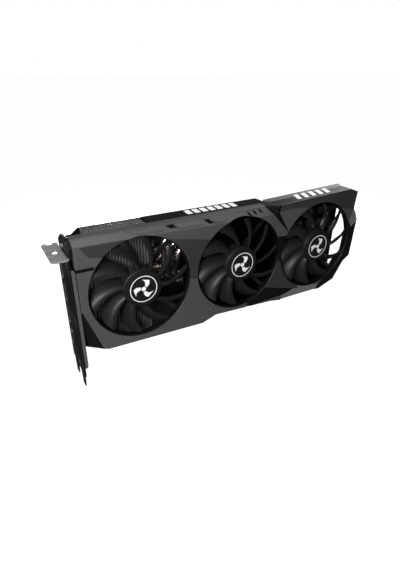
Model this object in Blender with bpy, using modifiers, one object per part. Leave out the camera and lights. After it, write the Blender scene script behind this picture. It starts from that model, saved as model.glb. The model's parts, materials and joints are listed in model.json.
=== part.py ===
"""A three-fan graphics card for a two-slot bay, as an assembly of its real pieces.

Frame: x = 0 is the outer face of the slot bracket and +X runs to the tail; y = 0 is the
component side of the circuit board, with the fans on the -Y side and the backplate on
the +Y side; z = 0 is the bottom of the edge connector's contacts, +Z up.
Sizes are in millimetres, and MM turns them into Blender's metres."""

import math

import bmesh
import bpy
from mathutils import Matrix, Vector

MM = 0.001
GAP = 0.3

# Slot bracket, to the two-slot standard
BRACKET_WIDTH = (-34.6, 4.1)
BRACKET_THICK = 1.0
BRACKET_TOP = 105.7
BRACKET_BOTTOM = -1.5
TONGUE_TIP = -14.3
TONGUE_CENTRES = (-25.4, -5.1)
TONGUE_WIDTH = 10.0
EAR_REACH = 11.43
EAR_SLOT = (2.2, 2.5, 4.0)
EAR_SLOT_CENTRE = (-5.0, -16.0)
SCREW_RADIUS = 2.6
BRACKET_SCREWS = (("bracket_screw_upper", -27.0, 98.8), ("bracket_screw_lower", -18.0, 4.2))

PORT_LOWS = (14.7, 36.2, 57.2, 78.2)
PORT_WINDOW = 17.6
PORT_WINDOW_Y = (-9.2, -1.5)
PORT_X = (-0.6, 16.0)
PORT_Y = (-8.2, -2.0)
PORT_LENGTHS = (15.2, 16.6, 16.6, 16.6)
PORT_WALL = 0.6
PORT_MOUTH_DEPTH = 9.6
VENT_FIRST = -31.5
VENT_PITCH = 3.8
VENT_WIDTH = 2.2
VENT_HEIGHT = 36.0
VENT_ROWS = (10.0, 54.0)
VENTS_IN_A_ROW = 5
END_CAP_X = (1.3, 4.0)
END_CAP_OUTLINE = (
    (-1.0, 106.2), (-1.0, 111.0), (-11.5, 118.0), (-28.5, 118.0), (-33.4, 113.0), (-33.4, 106.2),
)

# Power socket
SOCKET_LOW = (196.6, -10.3, 97.2)
SOCKET_HIGH = (214.8, -0.3, 110.0)
SOCKET_FLOOR = 101.0
SOCKET_WALL = 1.2

# Circuit board and its edge connector
BOARD_THICK = 1.57
BOARD_END = 215.0
BOARD_TOP = 111.0
CONTACT_HEIGHT = 8.25
CONTACT_SPANS = ((44.5, 56.2), (58.1, 129.75))

# Shroud: outline in X and Z, depth in Y
SHROUD_FRONT = -33.9
SHROUD_BACK = -20.0
SHROUD_FACE = 2.5
SHROUD_WALL = 3.0
SHROUD_LEFT = 4.3
SHROUD_OUTLINE = (
    (SHROUD_LEFT, 118.0), (190.0, 118.0), (280.5, 122.0), (291.0, 118.2), (289.0, 103.0),
    (297.0, 93.0), (295.0, 48.0), (287.0, 42.5), (276.0, 23.5), (257.0, 16.4),
    (205.0, 16.4), (190.0, 19.0), (126.0, 22.2), (112.0, 17.3), (22.7, 19.8),
    (SHROUD_LEFT, 26.0),
)
CHAMFER_SPAN = (0.0, 186.0)
CHAMFER_Y = -27.0
CHAMFER_Z = 113.5

# Badge bar and light panel, along the top edge
BADGE_BAR = ((70.0, -19.7, 114.4), (187.0, -0.8, 117.4))
TOP_PANEL_Y = (SHROUD_FRONT + 1.8, -11.0)
TOP_PANEL_OUTLINE = (
    (188.0, 116.4), (188.0, 117.9), (280.5, 122.0), (290.8, 118.1), (290.2, 116.8), (280.5, 120.5),
)

# Fans, which turn about lines along Y
FAN_CENTRES = (55.1, 151.3, 242.8)
FAN_Z = 69.1
FAN_OPENING = 43.6
BLADES = 10
BLADE_TIP = 42.3
BLADE_PHASE = 92.5
BLADE_SPAN = 25.0
BLADE_SWEEP = 18.0
BLADE_FRONT = -29.4
BLADE_BACK = -21.7
BLADE_THICK = 1.2
HUB_RADIUS = 16.3
HUB_FRONT = -33.6
HUB_BACK = -21.3
HUB_INSIDE = 14.6
CAP_FRONT = -36.2
FRAME_FRONT = -20.4
FRAME_BACK = -19.2
FRAME_RADIUS = 15.0
POST_REACH = 47.2
POST_RADIUS = 2.4
ARM_START = 6.0
ARM_WIDTH = 4.0
SHAFT_RADIUS = 1.2
BEARING_RADII = (1.5, 3.0)
BEARING_FRONT = -31.0
STATOR_RADII = (3.3, 12.0)
STATOR_FRONT = -30.5

# Heatsink
FIN_FRONT = -18.5
FIN_BASE = -11.7
FIN_BASE_THICK = 1.0
FIN_PITCH = 5.0
FIN_THICK = 0.8
FIN_STACKS = {"left": (18.6, 69.6, 116.6), "right": (100.0, 284.0, 114.0)}
FIN_LOW = 17.0
PIPE_HEIGHTS = (52.0, 62.0, 72.0, 82.0)
PIPE_RADIUS = 3.0
PIPE_Y = -7.3

# Backplate, and the chip that its window is centred on
BACKPLATE = (2.9, 4.1)
BACKPLATE_OUTLINE = (
    (4.3, 104.0), (18.0, 115.0), (189.0, 115.0), (194.0, 110.5), (288.0, 110.5), (293.0, 105.5),
    (293.0, 50.0), (285.0, 44.0), (273.0, 25.0), (255.0, 18.0), (140.0, 14.0), (4.3, 14.4),
)
PLATE_VENT_LEFTS = (226.0, 239.0, 252.0, 265.0)
PLATE_VENT_WIDTH = 8.0
PLATE_VENT_Z = (32.0, 100.0)
WINDOW_HALF = 26.0
CHIP_CENTRE = (86.0, 67.0)
CHIP_HALF = 20.0
SPRING_SCREW_REACH = 19.0

PAINTS = {
    "black_steel": ((0.02, 0.02, 0.021), 0.45, 1.0),
    "bright_steel": ((0.6, 0.6, 0.61), 0.3, 1.0),
    "grey_plastic": ((0.06, 0.06, 0.062), 0.5, 0.0),
    "silver_plastic": ((0.35, 0.35, 0.36), 0.35, 0.0),
    "black_plastic": ((0.012, 0.012, 0.012), 0.4, 0.0),
    "fan_plastic": ((0.03, 0.03, 0.031), 0.45, 0.0),
    "black_laminate": ((0.01, 0.012, 0.012), 0.5, 0.0),
    "aluminium": ((0.7, 0.7, 0.72), 0.3, 1.0),
    "nickel_copper": ((0.6, 0.5, 0.47), 0.2, 1.0),
    "chip": ((0.02, 0.02, 0.022), 0.4, 0.0),
}

for old in list(bpy.data.objects):
    bpy.data.objects.remove(old)
card = bpy.data.collections.new("graphics_card")
cutters = bpy.data.collections.new("cutters")
for group in (card, cutters):
    bpy.context.scene.collection.children.link(group)
cutters.hide_render = True


def material(name):
    """The named Principled material, made once."""
    found = bpy.data.materials.get(name)
    if found:
        return found
    color, roughness, metallic = PAINTS[name]
    made = bpy.data.materials.new(name)
    made.use_nodes = True
    shader = made.node_tree.nodes["Principled BSDF"]
    shader.inputs["Base Color"].default_value = (*color, 1.0)
    shader.inputs["Roughness"].default_value = roughness
    shader.inputs["Metallic"].default_value = metallic
    return made


def add(name, mesh, paint=None):
    """An object in the card's collection, or a cutter where no paint is named."""
    obj = bpy.data.objects.new(name, mesh)
    if paint:
        mesh.materials.append(material(paint))
        card.objects.link(obj)
    else:
        cutters.objects.link(obj)
        obj.hide_render = True
        obj.display_type = "WIRE"
    return obj


def box(name, low, high, paint=None):
    """A block between two corners."""
    mesh = bpy.data.meshes.new(name)
    form = bmesh.new()
    bmesh.ops.create_cube(form, size=1.0)
    size = [(b - a) * MM for a, b in zip(low, high)]
    middle = [(a + b) / 2 * MM for a, b in zip(low, high)]
    bmesh.ops.scale(form, vec=size, verts=form.verts)
    bmesh.ops.translate(form, vec=middle, verts=form.verts)
    form.to_mesh(mesh)
    form.free()
    return add(name, mesh, paint)


def rod(name, axis, centre, span, radius, paint=None, sides=24, end_radius=None):
    """A round bar along X, Y or Z: centre holds the other two coordinates, in X, Y, Z order."""
    mesh = bpy.data.meshes.new(name)
    form = bmesh.new()
    low, high = span
    bmesh.ops.create_cone(
        form,
        cap_ends=True,
        segments=sides,
        radius1=radius * MM,
        radius2=(radius if end_radius is None else end_radius) * MM,
        depth=(high - low) * MM,
    )
    turn = {"X": Matrix.Rotation(math.pi / 2, 4, "Y"), "Y": Matrix.Rotation(-math.pi / 2, 4, "X")}
    place = list(centre)
    place.insert("XYZ".index(axis), (low + high) / 2)
    bmesh.ops.transform(form, matrix=turn.get(axis, Matrix.Identity(4)), verts=form.verts)
    bmesh.ops.translate(form, vec=Vector(place) * MM, verts=form.verts)
    form.to_mesh(mesh)
    form.free()
    mesh.shade_smooth()
    mesh.set_sharp_from_angle(angle=math.radians(40))
    return add(name, mesh, paint)


def plate(name, axis, span, outline, holes=(), paint=None):
    """A flat outline with holes, given in the two axes other than axis, and thick along axis."""
    curve = bpy.data.curves.new(name, "CURVE")
    curve.dimensions = "2D"
    curve.fill_mode = "BOTH"
    low, high = span
    curve.extrude = (high - low) / 2 * MM
    for loop in (outline, *holes):
        spline = curve.splines.new("POLY")
        spline.points.add(len(loop) - 1)
        for point, (u, v) in zip(spline.points, loop):
            point.co = (u * MM, v * MM, 0.0, 1.0)
        spline.use_cyclic_u = True
    guide = bpy.data.objects.new(name, curve)
    bpy.context.scene.collection.objects.link(guide)
    graph = bpy.context.evaluated_depsgraph_get()
    mesh = bpy.data.meshes.new_from_object(guide.evaluated_get(graph))
    bpy.data.objects.remove(guide)
    middle = (low + high) / 2 * MM
    rows = {
        "X": ((0, 0, 1, middle), (1, 0, 0, 0), (0, 1, 0, 0), (0, 0, 0, 1)),
        "Y": ((1, 0, 0, 0), (0, 0, -1, middle), (0, 1, 0, 0), (0, 0, 0, 1)),
        "Z": ((1, 0, 0, 0), (0, 1, 0, 0), (0, 0, 1, middle), (0, 0, 0, 1)),
    }
    form = bmesh.new()
    form.from_mesh(mesh)
    bmesh.ops.remove_doubles(form, verts=form.verts, dist=1e-6)
    bmesh.ops.transform(form, matrix=Matrix(rows[axis]), verts=form.verts)
    bmesh.ops.recalc_face_normals(form, faces=form.faces)
    form.to_mesh(mesh)
    form.free()
    mesh.name = name
    mesh.materials.clear()
    return add(name, mesh, paint)


def cut(target, *tools):
    """Takes each tool out of the target."""
    for tool in tools:
        step = target.modifiers.new("cut", "BOOLEAN")
        step.operation = "DIFFERENCE"
        step.object = tool


def join(target, *tools):
    """Makes each tool part of the target."""
    for tool in tools:
        step = target.modifiers.new("join", "BOOLEAN")
        step.operation = "UNION"
        step.object = tool


def rectangle(u0, v0, u1, v1):
    """The corners of a rectangle."""
    return [(u0, v0), (u1, v0), (u1, v1), (u0, v1)]


def inset(outline, distance):
    """The outline moved inwards by distance, for points that run clockwise."""
    moved = []
    for i, here in enumerate(outline):
        before, after = Vector(outline[i - 1]), Vector(outline[(i + 1) % len(outline)])
        here = Vector(here)
        first = (here - before).normalized()
        second = (after - here).normalized()
        inward = Vector((first.y, -first.x)) + Vector((second.y, -second.x))
        inward.normalize()
        lean = inward.dot(Vector((first.y, -first.x)))
        moved.append(tuple(here + inward * distance / lean))
    return moved


def make_bracket():
    """The folded steel bracket with its ear, its front flange, ports and vents."""
    back, front = BRACKET_WIDTH[1], BRACKET_WIDTH[0]
    half = TONGUE_WIDTH / 2
    wall_top = BRACKET_TOP - BRACKET_THICK / 2
    outline = [(front, wall_top), (front, BRACKET_BOTTOM + 1.5)]
    for middle, left, right in zip(TONGUE_CENTRES, (0.4, -0.4), (-0.4, 0.4)):
        outline += [
            (middle - half, BRACKET_BOTTOM + left), (middle - half + 2, TONGUE_TIP),
            (middle + half - 2, TONGUE_TIP), (middle + half, BRACKET_BOTTOM + right),
        ]
    outline += [(back, BRACKET_BOTTOM + 1.0), (back, wall_top)]
    windows = [(PORT_WINDOW_Y[0], low, PORT_WINDOW_Y[1], low + PORT_WINDOW) for low in PORT_LOWS]
    for low in VENT_ROWS:
        for i in range(VENTS_IN_A_ROW):
            left = VENT_FIRST + VENT_PITCH * i
            windows.append((left, low, left + VENT_WIDTH, low + VENT_HEIGHT))
    bracket = plate("io_bracket", "X", (0, BRACKET_THICK), outline, (), "black_steel")
    for number, (y0, z0, y1, z1) in enumerate(windows):
        cut(bracket, box(f"window_{number}", (-1.0, y0, z0), (BRACKET_THICK + 1.0, y1, z1)))
    front, back, fold = front + 0.1, back - 0.1, BRACKET_THICK - 0.1
    ear_outline = [
        (fold, front), (fold, back), (-2.8, back), (-2.8, back - 3.2), (-7.2, back - 3.2),
        (-7.2, back), (2 - EAR_REACH, back), (-EAR_REACH, back - 2), (-EAR_REACH, front + 2),
        (2 - EAR_REACH, front),
    ]
    half, flat, long = EAR_SLOT
    corners = ((-half, flat), (-1, long), (1, long), (half, flat))
    hole = [(EAR_SLOT_CENTRE[0] + u, EAR_SLOT_CENTRE[1] + v) for u, v in corners]
    hole += [(EAR_SLOT_CENTRE[0] - u, EAR_SLOT_CENTRE[1] - v) for u, v in corners]
    ear = plate("ear", "Z", (BRACKET_TOP - BRACKET_THICK, BRACKET_TOP), ear_outline, [hole])
    flange = box("flange", (0.2, front, 8.0), (3.7, front + 1.0, 97.0))
    join(bracket, ear, flange)
    for name, y, z in BRACKET_SCREWS:
        seat = rod(name + "_seat", "X", (y, z), (-1.0, BRACKET_THICK + 1.0), SCREW_RADIUS + GAP, None, 18)
        cut(bracket, seat)
        rod(name, "X", (y, z), (0.05, 2.6), SCREW_RADIUS, "bright_steel", 18)
    plate("end_cap", "X", END_CAP_X, END_CAP_OUTLINE, (), "black_plastic")


def make_ports():
    """Three display ports and one smaller video port, each a metal shell open at the bracket."""
    names = ("hdmi_port", "display_port_1", "display_port_2", "display_port_3")
    for name, low, length in zip(names, PORT_LOWS, PORT_LENGTHS):
        start = low + (PORT_WINDOW - length) / 2
        corners = [(x, y, z) for x, y, z in zip(PORT_X, PORT_Y, (start, start + length))]
        shell = box(name, *corners, "bright_steel")
        near = (PORT_X[0] - 1, PORT_Y[0] + PORT_WALL, start + PORT_WALL)
        far = (PORT_X[0] + PORT_MOUTH_DEPTH, PORT_Y[1] - PORT_WALL, start + length - PORT_WALL)
        cut(shell, box(name + "_mouth", near, far))


def make_board():
    """The circuit board with its edge connector, and the parts soldered to it."""
    outline = [(2.0, BOARD_TOP), (BOARD_END, BOARD_TOP), (BOARD_END, 14.0), (140.0, 14.0),
               (140.0, CONTACT_HEIGHT), (CONTACT_SPANS[1][1], CONTACT_HEIGHT)]
    for low, high in reversed(CONTACT_SPANS):
        outline += [(high, 0.8), (high - 0.8, 0.0), (low + 0.8, 0.0), (low, 0.8)]
        outline.append((low, CONTACT_HEIGHT))
        if low != CONTACT_SPANS[0][0]:
            outline.append((CONTACT_SPANS[0][1], CONTACT_HEIGHT))
    outline += [(30.0, CONTACT_HEIGHT), (30.0, 14.0), (2.0, 14.0)]
    plate("circuit_board", "Y", (0, BOARD_THICK), outline, (), "black_laminate")
    x, z = CHIP_CENTRE
    low, high = (x - CHIP_HALF, -1.9, z - CHIP_HALF), (x + CHIP_HALF, -GAP, z + CHIP_HALF)
    chip = box("graphics_chip", low, high, "chip")
    join(chip, box("die", (x - 11, -2.7, z - 12), (x + 11, -1.5, z + 12)))
    places = [(x + 29, z + step) for step in (-24, -8, 8)]
    places += [(x - 37, z + step) for step in (-24, -8, 8)]
    for number, (u, v) in enumerate(places, 1):
        box(f"memory_chip_{number}", (u - 3, -1.5, v - 6), (u + 9, -GAP, v + 6), "chip")
    strip = box("choke_row", (140.0, -3.9, 33.0), (150.0, -3.0, 101.0), "black_plastic")
    join(strip, *[box(f"choke_{i}", (141.5, -3.4, 34 + 11 * i), (148.5, -GAP, 41 + 11 * i))
                  for i in range(6)])
    socket = box("power_socket", SOCKET_LOW, SOCKET_HIGH, "black_plastic")
    near = (SOCKET_LOW[0] + SOCKET_WALL, SOCKET_LOW[1] + SOCKET_WALL, SOCKET_FLOOR)
    far = (SOCKET_HIGH[0] - SOCKET_WALL, SOCKET_HIGH[1] - SOCKET_WALL, SOCKET_HIGH[2] + 1)
    cut(socket, box("socket_mouth", near, far))


def make_cooler():
    """The cold plate on the chip, the heat pipes and the two stacks of fins."""
    x, z = CHIP_CENTRE
    box("cold_plate", (x - 22, -4.0, z - 22), (x + 22, -3.0, z + 22), "nickel_copper")
    for number, height in enumerate(PIPE_HEIGHTS, 1):
        pipe = bpy.data.curves.new(f"heat_pipe_{number}", "CURVE")
        pipe.dimensions = "3D"
        pipe.bevel_depth = PIPE_RADIUS * MM
        pipe.bevel_resolution = 2
        pipe.use_fill_caps = True
        fan_out = (height - sum(PIPE_HEIGHTS) / 4) * 0.7
        route = [
            Vector((20.0, PIPE_Y, height + fan_out)), Vector((40.0, PIPE_Y, height + fan_out)),
            Vector((62.0, PIPE_Y, height)), Vector((112.0, PIPE_Y, height)),
            Vector((136.0, PIPE_Y, height + fan_out)), Vector((275.0, PIPE_Y, height + fan_out)),
        ]
        spline = pipe.splines.new("POLY")
        points = smooth_route(route)
        spline.points.add(len(points) - 1)
        for point, place in zip(spline.points, points):
            point.co = (*(place * MM), 1.0)
        tube = bpy.data.objects.new(f"heat_pipe_{number}", pipe)
        pipe.materials.append(material("nickel_copper"))
        card.objects.link(tube)
    for side, (start, end, top) in FIN_STACKS.items():
        make_fins("fin_stack_" + side, start, end, top)


def smooth_route(route, steps=4):
    """Points on a Catmull-Rom curve through the route."""
    ends = [route[0], *route, route[-1]]
    points = []
    for a, b, c, d in zip(ends, ends[1:], ends[2:], ends[3:]):
        for i in range(steps):
            t = i / steps
            bend = (2 * a - 5 * b + 4 * c - d) * t * t + (3 * b - a - 3 * c + d) * t**3
            points.append(0.5 * (2 * b + (c - a) * t + bend))
    return [*points, route[-1]]


def make_fins(name, start, end, top):
    """One stack: a base sheet with fins that stand towards the fans."""
    count = int((end - start - FIN_THICK) // FIN_PITCH)
    outline = [(start, FIN_BASE + FIN_BASE_THICK), (start, FIN_FRONT)]
    for i in range(count):
        left = start + i * FIN_PITCH + FIN_THICK
        right = left + FIN_PITCH - FIN_THICK
        outline += [(left, FIN_FRONT), (left, FIN_BASE), (right, FIN_BASE), (right, FIN_FRONT)]
    last = start + count * FIN_PITCH + FIN_THICK
    outline += [(last, FIN_FRONT), (last, FIN_BASE + FIN_BASE_THICK)]
    plate(name, "Z", (FIN_LOW, top), outline, (), "aluminium")


def make_shroud():
    """The moulded front shell with its three fan openings, the badge bar and the top panel."""
    shroud = plate("shroud", "Y", (SHROUD_FRONT, SHROUD_BACK), SHROUD_OUTLINE, (), "grey_plastic")
    inner = inset(SHROUD_OUTLINE, SHROUD_WALL)
    hollow = plate("hollow", "Y", (SHROUD_FRONT + SHROUD_FACE, SHROUD_BACK + 5), inner)
    x0, x1 = CHAMFER_SPAN
    keep = SHROUD_WALL - 0.6
    inner_bevel = [(-60.0, 40.0 + CHAMFER_Z), (-60.0, CHAMFER_Z - keep), (SHROUD_FRONT, CHAMFER_Z - keep),
                   (CHAMFER_Y, 118.0 - keep), (CHAMFER_Y, 40.0 + CHAMFER_Z)]
    cut(hollow, plate("inner_bevel", "X", (x0, x1), inner_bevel))
    outer_bevel = [(-60.0, 130.0), (-60.0, CHAMFER_Z), (SHROUD_FRONT, CHAMFER_Z),
                   (CHAMFER_Y, 118.0), (CHAMFER_Y + 3, 130.0)]
    recess = [(178.0, 125.0), (178.0, 117.4), (206.0, 88.0), (191.0, 110.8), (194.0, 119.0),
              (194.0, 125.0)]
    ledge = [(187.7, 116.1), (280.5, 120.2), (293.0, 115.5), (300.0, 130.0), (187.7, 130.0)]
    slot = rectangle(0.0, 93.8, 18.0, 96.4)
    cut(
        shroud,
        hollow,
        plate("outer_bevel", "X", (x0, x1), outer_bevel),
        plate("recess", "Y", (SHROUD_FRONT - 2, SHROUD_FRONT + 1.3), recess),
        plate("ledge", "Y", (SHROUD_FRONT + 1.4, SHROUD_BACK + 5), ledge),
        plate("side_slot", "Y", (SHROUD_FRONT - 2, SHROUD_FRONT + 1.2), slot),
        *[rod(f"fan_opening_{i}", "Y", (x, FAN_Z), (-40, -25), FAN_OPENING, None, 48)
          for i, x in enumerate(FAN_CENTRES, 1)],
    )
    box("badge_bar", *BADGE_BAR, "black_plastic")
    plate("top_panel", "Y", TOP_PANEL_Y, TOP_PANEL_OUTLINE, (), "silver_plastic")


def make_backplate():
    """The pressed backplate, the spring plate over the chip and their screws."""
    y0, y1 = BACKPLATE
    x, z = CHIP_CENTRE
    window = rectangle(x - WINDOW_HALF, z - WINDOW_HALF, x + WINDOW_HALF, z + WINDOW_HALF)
    low, high = PLATE_VENT_Z
    vents = [rectangle(u, low, u + PLATE_VENT_WIDTH, high) for u in PLATE_VENT_LEFTS]
    plate("backplate", "Y", (y0, y1), BACKPLATE_OUTLINE, [window, *vents], "black_steel")
    arm = [(-24, -19), (-19, -24), (0, -9), (19, -24), (24, -19), (9, 0), (24, 19), (19, 24),
           (0, 9), (-19, 24), (-24, 19), (-9, 0)]
    spring = [(x + u, z + v) for u, v in arm]
    plate("spring_plate", "Y", (BOARD_THICK + GAP, y0 - 0.2), spring, (), "bright_steel")
    reach = SPRING_SCREW_REACH
    corners = [(u, v) for u in (-reach, reach) for v in (-reach, reach)]
    for number, (u, v) in enumerate(corners, 1):
        name = f"spring_screw_{number}"
        rod(name, "Y", (x + u, z + v), (y0 + 0.1, y1), 2.3, "bright_steel", 18)
    places = ((16.0, 104.0), (16.0, 24.0), (205.0, 104.0), (205.0, 24.0))
    for number, (u, v) in enumerate(places, 1):
        name = f"backplate_screw_{number}"
        rod(name, "Y", (u, v), (y1 + 0.05, y1 + 1.0), 2.4, "bright_steel", 18, 2.0)


def blade_grid(form, start):
    """One blade as a swept, twisted sheet; start is its root's rear edge, in degrees."""
    radii = (HUB_INSIDE + 0.9, 23.0, 30.0, 37.0, BLADE_TIP)
    across = 3
    rows = []
    for radius in radii:
        out = (radius - radii[0]) / (radii[-1] - radii[0])
        row = []
        for step in range(across + 1):
            t = step / across
            angle = math.radians(start + BLADE_SWEEP * out**1.2 + BLADE_SPAN * t)
            depth = BLADE_BACK + (BLADE_FRONT - BLADE_BACK) * (t + 0.18 * math.sin(math.pi * t))
            row.append(form.verts.new((radius * math.cos(angle) * MM, depth * MM,
                                       radius * math.sin(angle) * MM)))
        rows.append(row)
    for inner, outer in zip(rows, rows[1:]):
        for i in range(across):
            form.faces.new((inner[i], outer[i], outer[i + 1], inner[i + 1]))


def make_blades(name, x):
    """All the blades of one fan, kept with the cutters because they are then joined to the hub."""
    mesh = bpy.data.meshes.new(name)
    form = bmesh.new()
    for i in range(BLADES):
        blade_grid(form, BLADE_PHASE - BLADE_SWEEP - BLADE_SPAN + 360.0 / BLADES * i)
    form.to_mesh(mesh)
    form.free()
    blades = add(name, mesh)
    blades.location = (x * MM, 0.0, FAN_Z * MM)
    sheet = blades.modifiers.new("thickness", "SOLIDIFY")
    sheet.thickness = BLADE_THICK * MM
    sheet.offset = 0.0
    return blades


def make_fan(number, x):
    """One axial fan: frame, bearing, stator, shaft, rotor and hub cap."""
    name = f"fan_{number}"
    rotor = rod(f"{name}_rotor", "Y", (x, FAN_Z), (HUB_FRONT, HUB_BACK), HUB_RADIUS, "fan_plastic", 40)
    cup = rod(f"{name}_cup", "Y", (x, FAN_Z), (HUB_FRONT + 1.6, HUB_BACK + 3), HUB_INSIDE, None, 40)
    join(rotor, make_blades(f"{name}_blades", x))
    cut(rotor, cup)
    rod(f"{name}_hub_cap", "Y", (x, FAN_Z), (CAP_FRONT, HUB_FRONT - GAP), 15.2, "fan_plastic", 40, 15.9)
    shaft = (HUB_FRONT + 1.9, FRAME_FRONT - 1.2)
    rod(f"{name}_shaft", "Y", (x, FAN_Z), shaft, SHAFT_RADIUS, "bright_steel", 16)
    bore, sleeve = BEARING_RADII
    seat = (BEARING_FRONT, FRAME_FRONT - GAP)
    bearing = rod(f"{name}_bearing", "Y", (x, FAN_Z), seat, sleeve, "bright_steel", 20)
    cut(bearing, rod(f"{name}_bore", "Y", (x, FAN_Z), (seat[0] - 1, seat[1] - 0.5), bore, None, 16))
    hole, ring = STATOR_RADII
    seat = (STATOR_FRONT, FRAME_FRONT - GAP)
    stator = rod(f"{name}_stator", "Y", (x, FAN_Z), seat, ring, "nickel_copper", 24)
    cut(stator, rod(f"{name}_stator_bore", "Y", (x, FAN_Z), (seat[0] - 1, seat[1] + 1), hole, None, 20))
    make_frame(name, x)


def make_frame(name, x):
    """The disc that holds a fan's motor, with four arms out to posts behind the shroud's face."""
    span = (FRAME_FRONT, FRAME_BACK)
    frame = rod(f"{name}_frame", "Y", (x, FAN_Z), span, FRAME_RADIUS, "black_plastic", 32)
    arm_span = (FRAME_FRONT + 0.15, FRAME_BACK - 0.15)
    post_span = (SHROUD_FRONT + SHROUD_FACE + GAP, FRAME_BACK - 0.05)
    for side in range(4):
        angle = math.radians(45 + 90 * side)
        out = Vector((math.cos(angle), math.sin(angle)))
        across = Vector((-out.y, out.x)) * ARM_WIDTH / 2
        start = Vector((x, FAN_Z)) + out * ARM_START * math.sqrt(2)
        end = Vector((x, FAN_Z)) + out * POST_REACH
        arm = [tuple(start + across), tuple(start - across), tuple(end - across), tuple(end + across)]
        join(frame, plate(f"{name}_arm_{side}", "Y", arm_span, arm))
        join(frame, rod(f"{name}_post_{side}", "Y", tuple(end), post_span, POST_RADIUS, None, 12))


make_bracket()
make_ports()
make_board()
make_cooler()
make_shroud()
make_backplate()
for fan_number, fan_x in enumerate(FAN_CENTRES, 1):
    make_fan(fan_number, fan_x)
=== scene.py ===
"""A three-fan graphics card for a two-slot bay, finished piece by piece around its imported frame.

Frame: x = 0 is the outer face of the slot bracket and +X runs to the tail; y = 0 is the component
side of the board, with the fans on the -Y side; z = 0 is the bottom of the connector's contacts.
Sizes are in millimetres, and MM turns them into metres."""

import json
import math

import bmesh
import bpy
from mathutils import Matrix, Vector
from mathutils.geometry import delaunay_2d_cdt

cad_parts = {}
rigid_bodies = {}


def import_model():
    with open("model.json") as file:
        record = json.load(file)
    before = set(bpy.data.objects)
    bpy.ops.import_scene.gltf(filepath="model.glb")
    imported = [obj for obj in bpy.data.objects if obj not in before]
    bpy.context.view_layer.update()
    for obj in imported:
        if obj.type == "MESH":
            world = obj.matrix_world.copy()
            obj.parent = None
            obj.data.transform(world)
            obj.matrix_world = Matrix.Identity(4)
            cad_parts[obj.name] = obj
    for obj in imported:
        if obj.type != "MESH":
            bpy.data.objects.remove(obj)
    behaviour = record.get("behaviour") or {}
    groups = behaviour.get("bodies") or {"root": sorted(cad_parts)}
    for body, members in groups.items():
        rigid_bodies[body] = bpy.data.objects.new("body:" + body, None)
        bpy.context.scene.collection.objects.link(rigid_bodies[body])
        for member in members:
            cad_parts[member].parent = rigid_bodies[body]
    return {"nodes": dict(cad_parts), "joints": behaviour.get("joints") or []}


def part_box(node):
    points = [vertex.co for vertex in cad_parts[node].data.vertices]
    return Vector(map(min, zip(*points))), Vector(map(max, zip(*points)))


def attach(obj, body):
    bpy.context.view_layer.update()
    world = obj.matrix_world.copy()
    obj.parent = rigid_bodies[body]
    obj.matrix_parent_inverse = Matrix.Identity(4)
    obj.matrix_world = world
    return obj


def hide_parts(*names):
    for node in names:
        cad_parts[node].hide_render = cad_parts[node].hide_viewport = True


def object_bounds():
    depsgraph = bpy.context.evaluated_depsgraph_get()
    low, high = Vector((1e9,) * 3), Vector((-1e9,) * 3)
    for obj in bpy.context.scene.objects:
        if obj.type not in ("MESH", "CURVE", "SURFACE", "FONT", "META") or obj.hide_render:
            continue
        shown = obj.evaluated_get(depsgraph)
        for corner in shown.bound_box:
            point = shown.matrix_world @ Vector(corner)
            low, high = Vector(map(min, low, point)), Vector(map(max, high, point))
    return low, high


for old in list(bpy.data.objects):
    bpy.data.objects.remove(old)
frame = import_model()
cad_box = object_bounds()
MM = 0.001

# -------------------- circuit board
# Glass-fibre laminate, etched, covered in black solder mask and routed to shape. All else is
# soldered or screwed to it. Its lower edge carries the gold-plated contacts of the connector.


def colour(code):
    """The linear colour of an sRGB hex code."""
    parts = [int(code[i : i + 2], 16) / 255 for i in (0, 2, 4)]
    return (*[c / 12.92 if c < 0.04045 else ((c + 0.055) / 1.055) ** 2.4 for c in parts], 1.0)


def add_node(tree, kind, values=(), links=()):
    """Adds a shader node, sets its properties and inputs, and links other nodes' outputs to it."""
    made = tree.nodes.new("ShaderNode" + kind)
    for key, value in dict(values).items():
        if isinstance(key, str) and key not in made.inputs:
            setattr(made, key, value)
        else:
            made.inputs[key].default_value = value
    for key, source in dict(links).items():
        tree.links.new(source, made.inputs[key])
    return made


def finish(name, **sockets):
    """Starts a Principled material; an underscore stands for a space in a socket's name."""
    made = bpy.data.materials.new(name)
    made.use_nodes = True
    shader = made.node_tree.nodes["Principled BSDF"]
    for key, value in sockets.items():
        shader.inputs[key.replace("_", " ")].default_value = value
    return made, made.node_tree, shader


def surface(tree, shader, tones, pitch, height, roughness, stretch=(1, 1, 1)):
    """Relief with grains pitch apart, and tone and roughness that drift over a few centimetres."""
    place = add_node(tree, "TexCoord").outputs["Object"]
    run = add_node(tree, "Mapping", {"Scale": stretch}, {"Vector": place}).outputs["Vector"]
    fine = add_node(tree, "TexNoise", {"Scale": 1 / (pitch * MM), "Detail": 3.0}, {"Vector": run})
    relief = add_node(tree, "Bump", {"Distance": height * MM}, {"Height": fine.outputs["Fac"]})
    tree.links.new(relief.outputs["Normal"], shader.inputs["Normal"])
    slow = add_node(tree, "TexNoise", {"Scale": 28.0, "Detail": 2.0}, {"Vector": place})
    mixed = add_node(tree, "Math", {"operation": "MULTIPLY_ADD", 1: 0.35},
                     {0: fine.outputs["Fac"], 2: slow.outputs["Fac"]})
    share = add_node(tree, "MapRange", {"From Min": 0.35, "From Max": 0.95}, {0: mixed.outputs[0]})
    tint = add_node(tree, "Mix", {"data_type": "RGBA", 6: colour(tones[0]), 7: colour(tones[1])},
                    {0: share.outputs[0]})
    tree.links.new(tint.outputs[2], shader.inputs["Base Color"])
    gloss = add_node(tree, "MapRange", {"To Min": roughness[0], "To Max": roughness[1]},
                     {0: share.outputs[0]})
    tree.links.new(gloss.outputs[0], shader.inputs["Roughness"])


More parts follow.
